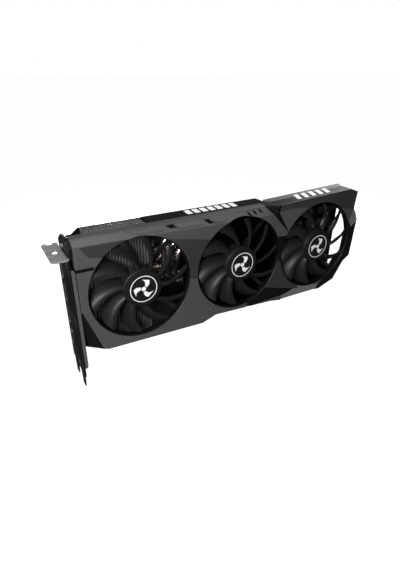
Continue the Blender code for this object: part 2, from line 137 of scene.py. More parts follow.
def limits(node):
    """The lowest and highest corners of a CAD node at rest, in millimetres."""
    return [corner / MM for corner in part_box(node)]


def dress(node, made):
    """Gives every material slot of a CAD node one finish."""
    for place in frame["nodes"][node].material_slots:
        place.material = made


def block(form, low, high):
    """Adds a block between two corners."""
    made = bmesh.ops.create_cube(form, size=1.0)["verts"]
    bmesh.ops.scale(form, vec=[(b - a) * MM for a, b in zip(low, high)], verts=made)
    bmesh.ops.translate(form, vec=[(a + b) / 2 * MM for a, b in zip(low, high)], verts=made)


def piece(name, form, *finishes):
    """Turns a finished form into an object that wears these finishes."""
    mesh = bpy.data.meshes.new(name)
    form.to_mesh(mesh)
    form.free()
    for made in finishes:
        mesh.materials.append(made)
    obj = bpy.data.objects.new(name, mesh)
    bpy.context.scene.collection.objects.link(obj)
    return obj


def fit(obj, slot, *nodes):
    """Fixes a piece to the card in the place of these CAD nodes, which it hides; slot is not used."""
    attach(obj, "card")
    if nodes:
        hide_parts(*nodes)


def soften(obj, width, segments=2, limit=35):
    """Breaks the sharp edges, as tooling and handling do."""
    obj.data.shade_smooth()
    edges = obj.modifiers.new("broken_edges", "BEVEL")
    edges.width = width * MM
    edges.segments = segments
    edges.limit_method = "ANGLE"
    edges.angle_limit = math.radians(limit)
    obj.modifiers.new("even_shading", "WEIGHTED_NORMAL")
    return obj


# Solder mask: a dark, half-gloss epoxy film. Tracks 0.8 mm apart show through as faint ridges.
solder_mask, tree, shader = finish("black_solder_mask", IOR=1.55)
surface(tree, shader, ("0c0f0e", "141817"), 0.8, 0.03, (0.28, 0.42), (1, 1, 0.08))
dress("circuit_board", solder_mask)

# Hard gold over nickel: warm, bright and evenly satin, with the faint lines of its plating jig.
gold_plate, tree, shader = finish("hard_gold_plate", Metallic=1.0)
surface(tree, shader, ("d8a548", "e6bd66"), 0.3, 0.004, (0.2, 0.32), (1, 1, 0.2))

CONTACT_SPANS = ((44.5, 56.2), (58.1, 129.75))
CONTACT_PITCH = 1.0
CONTACT_WIDTH = 0.7
CONTACT_HEIGHTS = (0.9, 5.9)
CONTACT_MARGIN = 0.7
PLATING = 0.04
board_low, board_high = limits("circuit_board")
form = bmesh.new()
for low, high in CONTACT_SPANS:
    for number in range(int((high - low - 0.6) / CONTACT_PITCH)):
        left = low + CONTACT_MARGIN + number * CONTACT_PITCH
        for face in (board_low.y - PLATING, board_high.y):
            corner = (left + CONTACT_WIDTH, face + PLATING, CONTACT_HEIGHTS[1])
            block(form, (left, face, CONTACT_HEIGHTS[0]), corner)
contacts = piece("edge_contacts", form, gold_plate)
fit(contacts, "nickel_copper")

# -------------------- chips and chokes
# The graphics chip and its six memory chips are epoxy packages soldered face up to the board,
# and the row of chokes beside them is pressed iron powder under a strip of thermal pad.

# Moulded epoxy: near black and dull, with the fine speckle of its silica filler.
package_epoxy, tree, shader = finish("moulded_package_epoxy", IOR=1.5)
surface(tree, shader, ("151517", "1f1f22"), 0.4, 0.01, (0.45, 0.6))
for node in ["graphics_chip"] + [f"memory_chip_{number}" for number in range(1, 7)]:
    dress(node, package_epoxy)

# Pressed iron powder: dark grey and open-grained, so it is rough all over.
iron_powder, tree, shader = finish("pressed_iron_powder", IOR=1.5)
surface(tree, shader, ("26262a", "35353a"), 0.5, 0.05, (0.6, 0.8))
dress("choke_row", iron_powder)

# -------------------- video ports
# Each port is a deep-drawn steel shell round a moulded tongue. The shell is soldered to the
# board by its feet and looks out through the bracket, with one or two of its corners cut off.


def inside(point, loop):
    """Whether a point lies within a closed loop of points."""
    within = False
    for (u0, v0), (u1, v1) in zip(loop, [*loop[1:], loop[0]]):
        if (v0 > point[1]) != (v1 > point[1]):
            within ^= point[0] < (u1 - u0) * (point[1] - v0) / (v1 - v0) + u0
    return within


def filled(outline, holes, lines=()):
    """Points and triangles that fill an outline round its holes, cut along each closed line."""
    points, edges = [], []
    for loop in (outline, *holes, *lines):
        first = len(points)
        points += [Vector(place) for place in loop]
        edges += [(first + i, first + (i + 1) % len(loop)) for i in range(len(loop))]
    flat, _, faces, *_ = delaunay_2d_cdt(points, edges, [], 0, 1e-4)
    kept = []
    for face in faces:
        middle = sum((flat[i] for i in face), Vector((0, 0))) / len(face)
        if inside(middle, outline) and not any(inside(middle, hole) for hole in holes):
            kept.append(face)
    return flat, kept


def sheet(form, axis, span, outline, holes=(), paint=0):
    """Adds flat sheet: outline and holes lie across axis, and span is its thickness along axis."""
    flat, faces = filled(outline, holes)
    turn = {"X": (2, 0, 1), "Y": (0, 2, 1), "Z": (0, 1, 2)}[axis]
    layers = []
    for depth in span:
        places = [[(*point, depth)[i] * MM for i in turn] for point in flat]
        layers.append([form.verts.new(place) for place in places])
    made, uses = [], {}
    for face in faces:
        made += [form.faces.new([layer[i] for i in face]) for layer in layers]
        for a, b in zip(face, [*face[1:], face[0]]):
            uses[frozenset((a, b))] = uses.get(frozenset((a, b)), 0) + 1
    for (a, b), count in ((tuple(edge), count) for edge, count in uses.items()):
        if count == 1:
            made.append(form.faces.new([layers[0][a], layers[0][b], layers[1][b], layers[1][a]]))
    for face in made:
        face.material_index = paint
    loose = [vert for layer in layers for vert in layer if not vert.link_faces]
    bmesh.ops.delete(form, geom=loose, context="VERTS")
    bmesh.ops.recalc_face_normals(form, faces=made)
    # Kept in their order, so that every run dissolves them in the same way.
    edges = list(dict.fromkeys(edge for face in made for edge in face.edges))
    verts = list(dict.fromkeys(vert for face in made for vert in face.verts))
    bmesh.ops.dissolve_limit(form, angle_limit=0.01, verts=verts, edges=edges, delimit={"MATERIAL"})


def rectangle(u0, v0, u1, v1):
    """The corners of a rectangle."""
    return [(u0, v0), (u1, v0), (u1, v1), (u0, v1)]


def rounded(loop, radius, steps=4):
    """The loop with each corner eased into a curve."""
    made = []
    for i, here in enumerate(loop):
        here, before, after = Vector(here), Vector(loop[i - 1]), Vector(loop[(i + 1) % len(loop)])
        start = here + (before - here) * min(0.45, radius / (before - here).length)
        end = here + (after - here) * min(0.45, radius / (after - here).length)
        for step in range(steps + 1):
            t = step / steps
            made.append(tuple(start * (1 - t) ** 2 + here * 2 * t * (1 - t) + end * t * t))
    return made


# Nickel on steel: a bright, slightly warm metal with fine lines along the way it was rolled.
nickel_steel, tree, shader = finish("nickel_plated_steel", Metallic=1.0)
surface(tree, shader, ("a9a8a4", "c4c3bf"), 0.5, 0.006, (0.22, 0.36), (1, 1, 0.1))

# Liquid crystal polymer: the black, dead-matt insulation that holds a port's contacts.
port_polymer, tree, shader = finish("port_insert_polymer", IOR=1.5)
surface(tree, shader, ("0b0b0c", "141415"), 0.3, 0.01, (0.5, 0.65))

SHELL_WALL = 0.5
MOUTH_DEPTH = 9.0
for node in ("hdmi_port", "display_port_1", "display_port_2", "display_port_3"):
    low, high = limits(node)
    cut = 2.0 if node == "hdmi_port" else 1.6
    outer = [(low.y + cut, low.z), (high.y, low.z), (high.y, high.z), (low.y + cut, high.z)]
    if node == "hdmi_port":
        outer += [(low.y, high.z - cut), (low.y, low.z + cut)]
    else:
        outer = [*outer[:3], (low.y, high.z), (low.y, low.z + cut)]
    middle = Vector(((low.y + high.y) / 2, (low.z + high.z) / 2))
    half = Vector((high.y - low.y, high.z - low.z)) / 2
    shrink = Vector(((half.x - SHELL_WALL) / half.x, (half.y - SHELL_WALL) / half.y))
    inner = [tuple(middle + (Vector(place) - middle) * shrink) for place in outer]
    form = bmesh.new()
    sheet(form, "X", (low.x, high.x), rounded(outer, 0.5), [rounded(inner, 0.4)])
    sheet(form, "X", (low.x + MOUTH_DEPTH, low.x + MOUTH_DEPTH + 0.5), rounded(inner, 0.4))
    for foot in (low.z + 1.5, high.z - 3.0):
        block(form, (high.x - 4.0, high.y - 0.4, foot), (high.x - 1.5, high.y + 0.7, foot + 1.5))
    shell = soften(piece(node + "_shell", form, nickel_steel), 0.12)
    fit(shell, "bright_steel", node)
    form = bmesh.new()
    reach = (low.x + 1.6, low.x + MOUTH_DEPTH)
    sheet(form, "X", reach, rectangle(middle.x - 0.9, low.z + 2.6, middle.x + 0.7, high.z - 2.6))
    for number in range(9):
        rise = low.z + 3.4 + number * (high.z - low.z - 6.8) / 8.5
        block(form, (low.x + 2.0, middle.x - 1.0, rise), (low.x + 8.0, middle.x - 0.85, rise + 0.5))
    tongue = piece(node + "_tongue", form, port_polymer)
    fit(tongue, "black_plastic")

# -------------------- power socket
# A nylon housing of eight cells over eight tin-plated pins, soldered near the board's top edge.
# The lead's plug goes in from above, behind the light panel.

# Glass-filled nylon: black and satin, with faint flow marks from the mould's gate.
filled_nylon, tree, shader = finish("glass_filled_nylon", IOR=1.53)
surface(tree, shader, ("101011", "1a1a1c"), 0.35, 0.015, (0.4, 0.55))
dress("power_socket", filled_nylon)

# Tinned brass: pale and soft-looking, since the tin is matt where it was dipped.
tinned_brass, tree, shader = finish("tinned_brass", Metallic=1.0)
surface(tree, shader, ("b9b7ae", "cfcdc4"), 0.3, 0.01, (0.3, 0.45))

socket_low, socket_high = limits("power_socket")
SOCKET_FLOOR = 101.0
CELL_PITCH = 3.93
ROW_PITCH = 4.0
PIN_HALF = 0.5
PIN_RISE = 6.5
CELL_WALL_HALF = 0.3
pins, walls = bmesh.new(), bmesh.new()
for column in range(4):
    for row in range(2):
        x = socket_low.x + 3.2 + column * CELL_PITCH
        y = socket_low.y + 3.0 + row * ROW_PITCH
        foot = (x - PIN_HALF, y - PIN_HALF, SOCKET_FLOOR - 0.2)
        block(pins, foot, (x + PIN_HALF, y + PIN_HALF, SOCKET_FLOOR + PIN_RISE))
for column in range(1, 4):
    x = socket_low.x + 1.25 + column * CELL_PITCH
    low = (x - CELL_WALL_HALF, socket_low.y + 1.1, SOCKET_FLOOR - 0.1)
    block(walls, low, (x + CELL_WALL_HALF, socket_high.y - 1.1, socket_high.z - 1.2))
power_pins = soften(piece("power_pins", pins, tinned_brass), 0.2)
cell_walls = soften(piece("power_cell_walls", walls, filled_nylon), 0.1)
for part, slot in ((power_pins, "bright_steel"), (cell_walls, "black_plastic")):
    fit(part, slot)

# -------------------- cold plate and heat pipes
# The cold plate is a copper block screwed down on the chip. Four copper pipes are soldered to it
# and run through both fin stacks; three more rise from it and bend over into the right stack.


def tube(form, route, radius, sides=20):
    """Adds a round tube along a smooth curve through the route's points."""
    ends = [route[0], *route, route[-1]]
    line = []
    for a, b, c, d in zip(ends, ends[1:], ends[2:], ends[3:]):
        a, b, c, d = Vector(a), Vector(b), Vector(c), Vector(d)
        for i in range(8):
            t = i / 8
            bend = (2 * a - 5 * b + 4 * c - d) * t * t + (3 * b - a - 3 * c + d) * t**3
            line.append(0.5 * (2 * b + (c - a) * t + bend))
    line.append(Vector(route[-1]))
    side = Vector((0, 1, 0))
    rings = []
    for i, here in enumerate(line):
        ahead = (line[min(i + 1, len(line) - 1)] - line[max(i - 1, 0)]).normalized()
        side = (side - ahead * side.dot(ahead)).normalized()
        over = ahead.cross(side)
        turns = [2 * math.pi * k / sides for k in range(sides)]
        ring = [here + (side * math.cos(a) + over * math.sin(a)) * radius for a in turns]
        rings.append([form.verts.new(place * MM) for place in ring])
    for one, two in zip(rings, rings[1:]):
        for i in range(sides):
            form.faces.new((one[i - 1], one[i], two[i], two[i - 1]))
    for ring in (rings[0], rings[-1]):
        form.faces.new(ring)
    bmesh.ops.recalc_face_normals(form, faces=form.faces)


# Thin nickel over copper: a bright, silvery metal with a trace of the copper's pink warmth.
nickel_copper, tree, shader = finish("nickel_over_copper", Metallic=1.0)
surface(tree, shader, ("c2b8b5", "e0d9d6"), 0.6, 0.004, (0.2, 0.34))
dress("cold_plate", nickel_copper)

PIPE_RADIUS = 3.0
PIPE_Y = -7.3
PIPE_HEIGHTS = (52.0, 62.0, 72.0, 82.0)
middle = sum(PIPE_HEIGHTS) / 4
for number, height in enumerate(PIPE_HEIGHTS, 1):
    spread = height + (height - middle) * 0.7
    route = [(20, PIPE_Y, spread), (40, PIPE_Y, spread), (62, PIPE_Y, height)]
    route += [(112, PIPE_Y, height), (136, PIPE_Y, spread), (275, PIPE_Y, spread)]
    form = bmesh.new()
    tube(form, route, PIPE_RADIUS)
    pipe = piece(f"heat_pipe_{number}_tube", form, nickel_copper)
    pipe.data.shade_smooth()
    fit(pipe, "nickel_copper", f"heat_pipe_{number}")

BEND_PITCH = 6.3
BEND_RADIUS = 2.9
BEND_Y = -13.5
form = bmesh.new()
for number in range(3):
    x = 83.5 + number * BEND_PITCH
    top = 101.0 - number * BEND_PITCH
    route = [(x, -8.0, 62.0), (x, -12.0, 72.0), (x + 0.3, BEND_Y, top - 9)]
    route += [(x + 4.0, BEND_Y, top - 1.5), (x + 11.0, BEND_Y, top), (112.0, BEND_Y, top)]
    tube(form, route, BEND_RADIUS)
bends = piece("heat_pipe_bends", form, nickel_copper)
bends.data.shade_smooth()
fit(bends, "nickel_copper")

# -------------------- fin stacks
# Thin aluminium sheets, punched, folded over at both ends to space them, and pressed on to the
# pipes. They stand across the card, so a fan sees only their front edges.

# Rolled aluminium: pale and bright, with lines along each sheet from the mill's rolls. The sheets
# are drawn thicker and further apart than real ones, so that each edge shows.
rolled_aluminium, tree, shader = finish("rolled_aluminium", Metallic=1.0)
surface(tree, shader, ("b4b5b7", "d0d1d3"), 0.4, 0.006, (0.42, 0.54), (1, 1, 0.06))

# Painted shade: the stack behind the second and third fans is coloured dark for the shadow it lies
# in behind the shroud, so it sinks back between the blades.
shaded_aluminium, tree, shader = finish("black_oxidised_aluminium", Metallic=1.0)
surface(tree, shader, ("262628", "333335"), 0.4, 0.006, (0.4, 0.52), (1, 1, 0.06))

FIN_PITCH = 2.4
FIN_GAUGES = {"left": 0.75, "right": 0.4}
FIN_FOLD = 2.1
FOLD_GAUGE = 0.3
TOP_FOLD = 3.0
FOLD_INSET = 0.6
FIN_FRONT = -18.5
FIN_BACK = -4.7
OVERHANG = 4.0
BOARD_GAP = 0.5
for side in ("left", "right"):
    low, high = limits("fin_stack_" + side)
    gauge = FIN_GAUGES[side]
    form = bmesh.new()
    for number in range(int((high.x - low.x - gauge) / FIN_PITCH) + 1):
        x = low.x + number * FIN_PITCH
        top = high.z
        if socket_low.x - 2.5 < x < socket_high.x + 1:
            top = socket_low.z - 1.5
        block(form, (x, FIN_FRONT, low.z), (x + gauge, FIN_BACK, top))
        for end in (low.z, top - TOP_FOLD):
            fold = min(x + FIN_FOLD, high.x)
            start = (x + gauge / 2, FIN_FRONT + FOLD_INSET, end)
            block(form, start, (fold, FIN_BACK - FOLD_INSET, end + FOLD_GAUGE))
        if side == "left":
            start = (x, FIN_BACK - 0.1, board_high.z + BOARD_GAP)
            block(form, start, (x + gauge, FIN_BACK + OVERHANG, top - 0.2))
    fins = piece(f"fins_{side}", form, {"left": rolled_aluminium, "right": shaded_aluminium}[side])
    fit(fins, "aluminium", "fin_stack_" + side)

# -------------------- fan frames and motors
# Behind each rotor a four-armed nylon frame, screwed to the shroud, holds a brass bearing and a
# stator of steel laminations wound with enamelled wire. The steel shaft turns in the bearing.

# Enamelled copper wire: deep amber under a clear gloss, wound in turns about half a mm apart.
enamelled_wire, tree, shader = finish("enamelled_copper_wire", Metallic=1.0, Coat_Weight=0.6)
surface(tree, shader, ("8a4a22", "b06a35"), 0.5, 0.05, (0.25, 0.4), (0.1, 1, 0.1))
for number in (1, 2, 3):
    dress(f"fan_{number}_frame", filled_nylon)
    dress(f"fan_{number}_stator", enamelled_wire)
    dress(f"fan_{number}_bearing", tinned_brass)
    dress(f"fan_{number}_shaft", nickel_steel)

# -------------------- fans
# Each rotor is one moulding: a cup over the motor with ten swept blades. A round cap snaps on
# in front of the cup and carries a printed sign in white.


def turned(form, profile, sides=64):
    """Turns a profile of (radius, depth) about the Y axis."""
    turns = [2 * math.pi * k / sides for k in range(sides)]
    rings = []
    for radius, depth in profile:
        ring = [(radius * math.cos(a), depth, radius * math.sin(a)) for a in turns]
        rings.append([form.verts.new(Vector(place) * MM) for place in (ring if radius else ring[:1])])
    for one, two in zip(rings, rings[1:]):
        for i in range(sides):
            corners = [one[(i - 1) % len(one)], one[i % len(one)]]
            corners += [two[i % len(two)], two[(i - 1) % len(two)]]
            form.faces.new(list(dict.fromkeys(corners)))


def blade(form, start):
    """Adds one swept blade, thick at its root and thin at its tip; start is in degrees."""
    rings = []
    for station in range(BLADE_STATIONS + 1):
        out = station / BLADE_STATIONS
        radius = BLADE_ROOT + (BLADE_TIP - BLADE_ROOT) * out
        thick = BLADE_THICK[0] + (BLADE_THICK[1] - BLADE_THICK[0]) * out
        keep = 1 - 0.22 * max(0.0, (out - 0.86) / 0.14) ** 2
        front, back = [], []
        for step in range(BLADE_STEPS + 1):
            t = 0.5 + (step / BLADE_STEPS - 0.5) * keep
            angle = math.radians(start + BLADE_SWEEP * out**1.2 + BLADE_SPAN * t)
            camber = BLADE_CAMBER * math.sin(math.pi * t)
            depth = BLADE_BACK + (BLADE_FRONT - BLADE_BACK) * (t + camber)
            slope = (BLADE_FRONT - BLADE_BACK) * (1 + BLADE_CAMBER * math.pi * math.cos(math.pi * t))
            run = radius * math.radians(BLADE_SPAN)
            half = thick / 2 * (0.25 + 0.75 * math.sin(math.pi * step / BLADE_STEPS) ** 0.6)
            across = Vector((slope, -run)).normalized() * half
            for side, sign in ((front, 1), (back, -1)):
                turn = angle + sign * across.x / radius
                side.append((radius * math.cos(turn), depth + sign * across.y, radius * math.sin(turn)))
        ring = front + back[::-1]
        rings.append([form.verts.new(Vector(place) * MM) for place in ring])
    for one, two in zip(rings, rings[1:]):
        for i in range(len(one)):
            form.faces.new((one[i - 1], one[i], two[i], two[i - 1]))
    form.faces.new(rings[-1])
    form.faces.new(rings[0])


# Glass-filled polyester: a deep satin black whose fine mould texture spreads soft highlights.
fan_polyester, tree, shader = finish("fan_polyester", IOR=1.5, Specular_IOR_Level=0.3)
surface(tree, shader, ("18181a", "1f1f21"), 0.5, 0.006, (0.4, 0.5))

# Cap polyester: the same resin in a smoother tool, so it is a shade darker and more even.
cap_polyester, tree, shader = finish("hub_cap_polyester", IOR=1.5, Specular_IOR_Level=0.4)
surface(tree, shader, ("0e0e10", "141416"), 0.5, 0.004, (0.42, 0.52))

# Pad-printed ink: thin, matt and pure white, a little uneven where it took on the plastic.
white_ink, tree, shader = finish("white_pad_ink", IOR=1.5)
surface(tree, shader, ("e9e9e9", "fbfbfb"), 0.4, 0.003, (0.5, 0.65))

BLADES = 10
BLADE_STATIONS = 14
BLADE_STEPS = 10
BLADE_ROOT = 15.4
BLADE_TIP = 42.3
BLADE_THICK = (1.9, 1.2)
BLADE_PHASE = 45.0
BLADE_SPAN = 20.0
BLADE_SWEEP = 25.0
BLADE_CAMBER = 0.3
BLADE_FRONT = -32.4
BLADE_BACK = -21.7
HUB_PROFILE = ((0, -33.5), (15.5, -33.5), (16.1, -33.2), (16.3, -32.6), (16.3, -21.7), (16.0, -21.3),
               (14.9, -21.3), (14.6, -21.6), (14.6, -31.9), (0, -31.9))
CAP_PROFILE = ((0, -35.9), (15.3, -35.9), (15.65, -35.8), (15.85, -35.5), (15.9, -35.1),
               (15.9, -34.1), (15.7, -33.9), (0, -33.9))
CAP_FACE = -35.9
RING_RADII = (11.0, 11.7)
SIGN_DOT = 1.9
INK_HALF = 0.05
PETAL_RADII = (2.6, 8.8)
PETAL_STEPS = 9
PETAL_WIDTH = 44
PETAL_SWEEP = 30

form = bmesh.new()
turned(form, HUB_PROFILE)
for number in range(BLADES):
    blade(form, BLADE_PHASE + number * 360.0 / BLADES)
bmesh.ops.recalc_face_normals(form, faces=form.faces)
rotor_mesh = bpy.data.meshes.new("fan_rotor")
form.to_mesh(rotor_mesh)
form.free()
rotor_mesh.materials.append(fan_polyester)
rotor_mesh.shade_smooth()
rotor_mesh.set_sharp_from_angle(angle=math.radians(50))

form = bmesh.new()
turned(form, CAP_PROFILE)
bmesh.ops.recalc_face_normals(form, faces=form.faces)
cap_mesh = bpy.data.meshes.new("fan_cap")
form.to_mesh(cap_mesh)
form.free()
cap_mesh.materials.append(cap_polyester)
cap_mesh.shade_smooth()
cap_mesh.set_sharp_from_angle(angle=math.radians(30))


def circle(u, v, radius, sides=96):
    """Points round a circle."""
    turns = [2 * math.pi * k / sides for k in range(sides)]
    return [(u + radius * math.cos(a), v + radius * math.sin(a)) for a in turns]


form = bmesh.new()
ink = (CAP_FACE - INK_HALF, CAP_FACE + INK_HALF)
sheet(form, "Y", ink, circle(0, 0, RING_RADII[1]), [circle(0, 0, RING_RADII[0])])
sheet(form, "Y", ink, circle(0, 0, SIGN_DOT, 32))
for number in range(3):
    start = number * 120.0 + 24.0
    edge = []
    for step in range(PETAL_STEPS):
        out = step / (PETAL_STEPS - 1)
        reach = PETAL_RADII[0] + (PETAL_RADII[1] - PETAL_RADII[0]) * out
        edge.append((reach, start + PETAL_SWEEP * out**1.5))
    for step in range(PETAL_STEPS):
        back = 1 - step / (PETAL_STEPS - 1)
        reach = PETAL_RADII[0] + (PETAL_RADII[1] - PETAL_RADII[0]) * back**0.8
        edge.append((reach, start + PETAL_WIDTH + PETAL_SWEEP * back**1.5))
    turns = [(radius, math.radians(angle)) for radius, angle in edge]
    sheet(form, "Y", ink, [(radius * math.cos(a), radius * math.sin(a)) for radius, a in turns])
sign_mesh = bpy.data.meshes.new("cap_sign")
form.to_mesh(sign_mesh)
form.free()
sign_mesh.materials.append(white_ink)

fan_centres = {joint["child"]: Vector(joint["pos_m"]) for joint in frame["joints"]}
for body, centre in fan_centres.items():
    for name, mesh in (("_blades", rotor_mesh), ("_cap", cap_mesh), ("_sign", sign_mesh)):
        part = bpy.data.objects.new(body + name, mesh)
        bpy.context.scene.collection.objects.link(part)
        part.location = (centre.x, 0.0, centre.z)
        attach(part, body)
    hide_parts(body + "_rotor")
    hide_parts(body + "_hub_cap")

# -------------------- shroud
# One ABS moulding over the whole front: shallow facets round three ducts, and a slope along the
# top edge with raised bars and slanted vents. Some facets are coloured darker grey or black as
# painted shade, for the shade on them and down their recesses, and some are sprayed silver.


def relief(outline, holes, facets, level, base):
    """A moulded skin across Y. Each facet has a loop, a function for its depth, and a finish."""
    flat, faces = filled(outline, holes, [loop for loop, _, _ in facets])
    form = bmesh.new()
    corners, sides = {}, {}

    def corner(i, number):
        depth = base(*flat[i]) + (facets[number][1](*flat[i]) if number is not None else 0.0)
        key = (i, round(depth, 3))
        if key not in corners:
            corners[key] = form.verts.new(Vector((flat[i][0], level + depth, flat[i][1])) * MM)
        return corners[key]

    for face in faces:
        middle = sum((flat[i] for i in face), Vector((0, 0))) / len(face)
        number = next((n for n, facet in enumerate(facets) if inside(middle, facet[0])), None)
        made = form.faces.new([corner(i, number) for i in face])
        made.material_index = facets[number][2] if number is not None else 0
        for a, b in zip(face, [*face[1:], face[0]]):
            sides.setdefault(frozenset((a, b)), []).append(number)
    for edge, numbers in sides.items():
        if len(numbers) == 2 and numbers[0] != numbers[1]:
            a, b = edge
            ring = [corner(a, numbers[0]), corner(b, numbers[0])]
            ring += [corner(b, numbers[1]), corner(a, numbers[1])]
            ring = list(dict.fromkeys(ring))
            if len(ring) > 2:
                made = form.faces.new(ring)
                made.material_index = max(facets[n][2] if n is not None else 0 for n in numbers)
    return form


def turn_back(form, near, steps, stop):
    """Carries the open edges that near picks through steps of (outward, back), then to stop."""
    edges = [e for e in form.edges if e.is_boundary and near((e.verts[0].co + e.verts[1].co) / 2)]
    away = {}
    for edge in edges:
        a, b = (vert.co for vert in edge.verts)
        run = Vector((b.x - a.x, b.z - a.z))
        if run.length < 1e-7:
            continue
        out = Vector((run.y, -run.x)).normalized()
        middle = edge.link_faces[0].calc_center_median()
        if out.dot(Vector((middle.x - a.x, middle.z - a.z))) > 0:
            out = -out
        for vert in edge.verts:
            away.setdefault((round(vert.co.x, 6), round(vert.co.z, 6)), []).append(out)
    keys = {vert: (round(vert.co.x, 6), round(vert.co.z, 6)) for edge in edges for vert in edge.verts}
    edges = [edge for edge in edges if all(keys[vert] in away for vert in edge.verts)]
    keys = {vert: keys[vert] for edge in edges for vert in edge.verts}
    for outward, back in (*steps, (0.0, None)):
        was = {tuple(round(c, 7) for c in vert.co): key for vert, key in keys.items()}
        paint = {frozenset(tuple(round(c, 7) for c in vert.co) for vert in edge.verts):
                 edge.link_faces[0].material_index for edge in edges}
        made = bmesh.ops.extrude_edge_only(form, edges=edges)["geom"]
        edges = [item for item in made if isinstance(item, bmesh.types.BMEdge) and item.is_boundary]
        for edge in edges:
            spot = frozenset(tuple(round(c, 7) for c in vert.co) for vert in edge.verts)
            edge.link_faces[0].material_index = paint.get(spot, 0)
        verts = [item for item in made if isinstance(item, bmesh.types.BMVert)]
        keys = {vert: was[tuple(round(c, 7) for c in vert.co)] for vert in verts}
        for vert, key in keys.items():
            normals = away[key]
            mitre = sum(normals, Vector((0, 0))).normalized()
            mitre /= max(0.45, mitre.dot(normals[0]))
            vert.co.x += mitre.x * outward * MM
            vert.co.z += mitre.y * outward * MM
            vert.co.y = stop * MM if back is None else vert.co.y + back * MM


def leaning(start, end, depth, fall):
    """A depth that grows by fall for each mm to the right of the line from start to end."""
    along = (Vector(end) - Vector(start)).normalized()
    across = Vector((along.y, -along.x))
    return lambda u, v: depth + fall * across.dot(Vector((u, v)) - Vector(start))


def at(depth):
    """One depth all over."""
    return lambda u, v: depth


# Moulded ABS, graphite: spark-eroded texture breaks the reflections up, so it looks satin grey.
graphite_abs, tree, shader = finish("graphite_abs", IOR=1.53)
surface(tree, shader, ("424244", "4a4a4c"), 0.5, 0.012, (0.42, 0.52))

# Painted shade: the graphite ABS in a darker colour, on facets round the fans, for the shade
# their tilt takes on under the lamps.
charcoal_abs, tree, shader = finish("charcoal_abs", IOR=1.53)
surface(tree, shader, ("2c2c2e", "343436"), 0.5, 0.012, (0.42, 0.52))

# Black ABS: the end plate's own colour. On the shroud the same black is painted shade: the shallow
# vents, slits, side slot and recesses, the ducts' rims and walls, and the dark facets to the right
# and low down are coloured black for the shade that falls there.
black_abs, tree, shader = finish("black_abs", IOR=1.53, Specular_IOR_Level=0.25)
surface(tree, shader, ("070707", "0b0b0c"), 0.5, 0.012, (0.4, 0.5))

# Sprayed silver-grey lacquer: fine flake in a clear coat, lighter and smoother than the ABS.
silver_lacquer, tree, shader = finish("silver_grey_lacquer", Metallic=0.2)
surface(tree, shader, ("7a7a7c", "848486"), 0.3, 0.006, (0.4, 0.5))

SHROUD_FRONT = -33.9
SHROUD_BACK = -20.0
SHROUD_OUTLINE = [
    (4.3, 118.0), (190.0, 118.0), (280.5, 122.0), (291.0, 118.2), (289.0, 103.0), (297.0, 93.0),
    (295.0, 48.0), (287.0, 42.5), (276.0, 23.5), (257.0, 16.4), (205.0, 16.4), (190.0, 19.0),
    (126.0, 22.2), (112.0, 17.3), (22.7, 19.8), (4.3, 26.0),
]
FAN_OPENING = 43.6
FAN_Z = fan_centres["fan_1"].z / MM
RIM = 0.9
DUCT_DEPTH = 6.0
SHROUD_WALL = 1.6
SHADED_WALLS_FROM = 188.0
SHADED_WALLS_BELOW = 60.0
TOP_EDGE = 118.0
SLOPE_DEPTH = 6.9
SLOPE_END = 178.0
SLOPE_FADE = 12.0


def top_slope(x, z):
    """How far the slope along the top edge lies behind the front face; it dies out by the recess."""
    fold = 114.0 - 0.02 * x
    fade = min(1.0, max(0.0, (SLOPE_END + SLOPE_FADE - x) / SLOPE_FADE))
    return max(0.0, z - fold) / (TOP_EDGE - fold) * SLOPE_DEPTH * fade
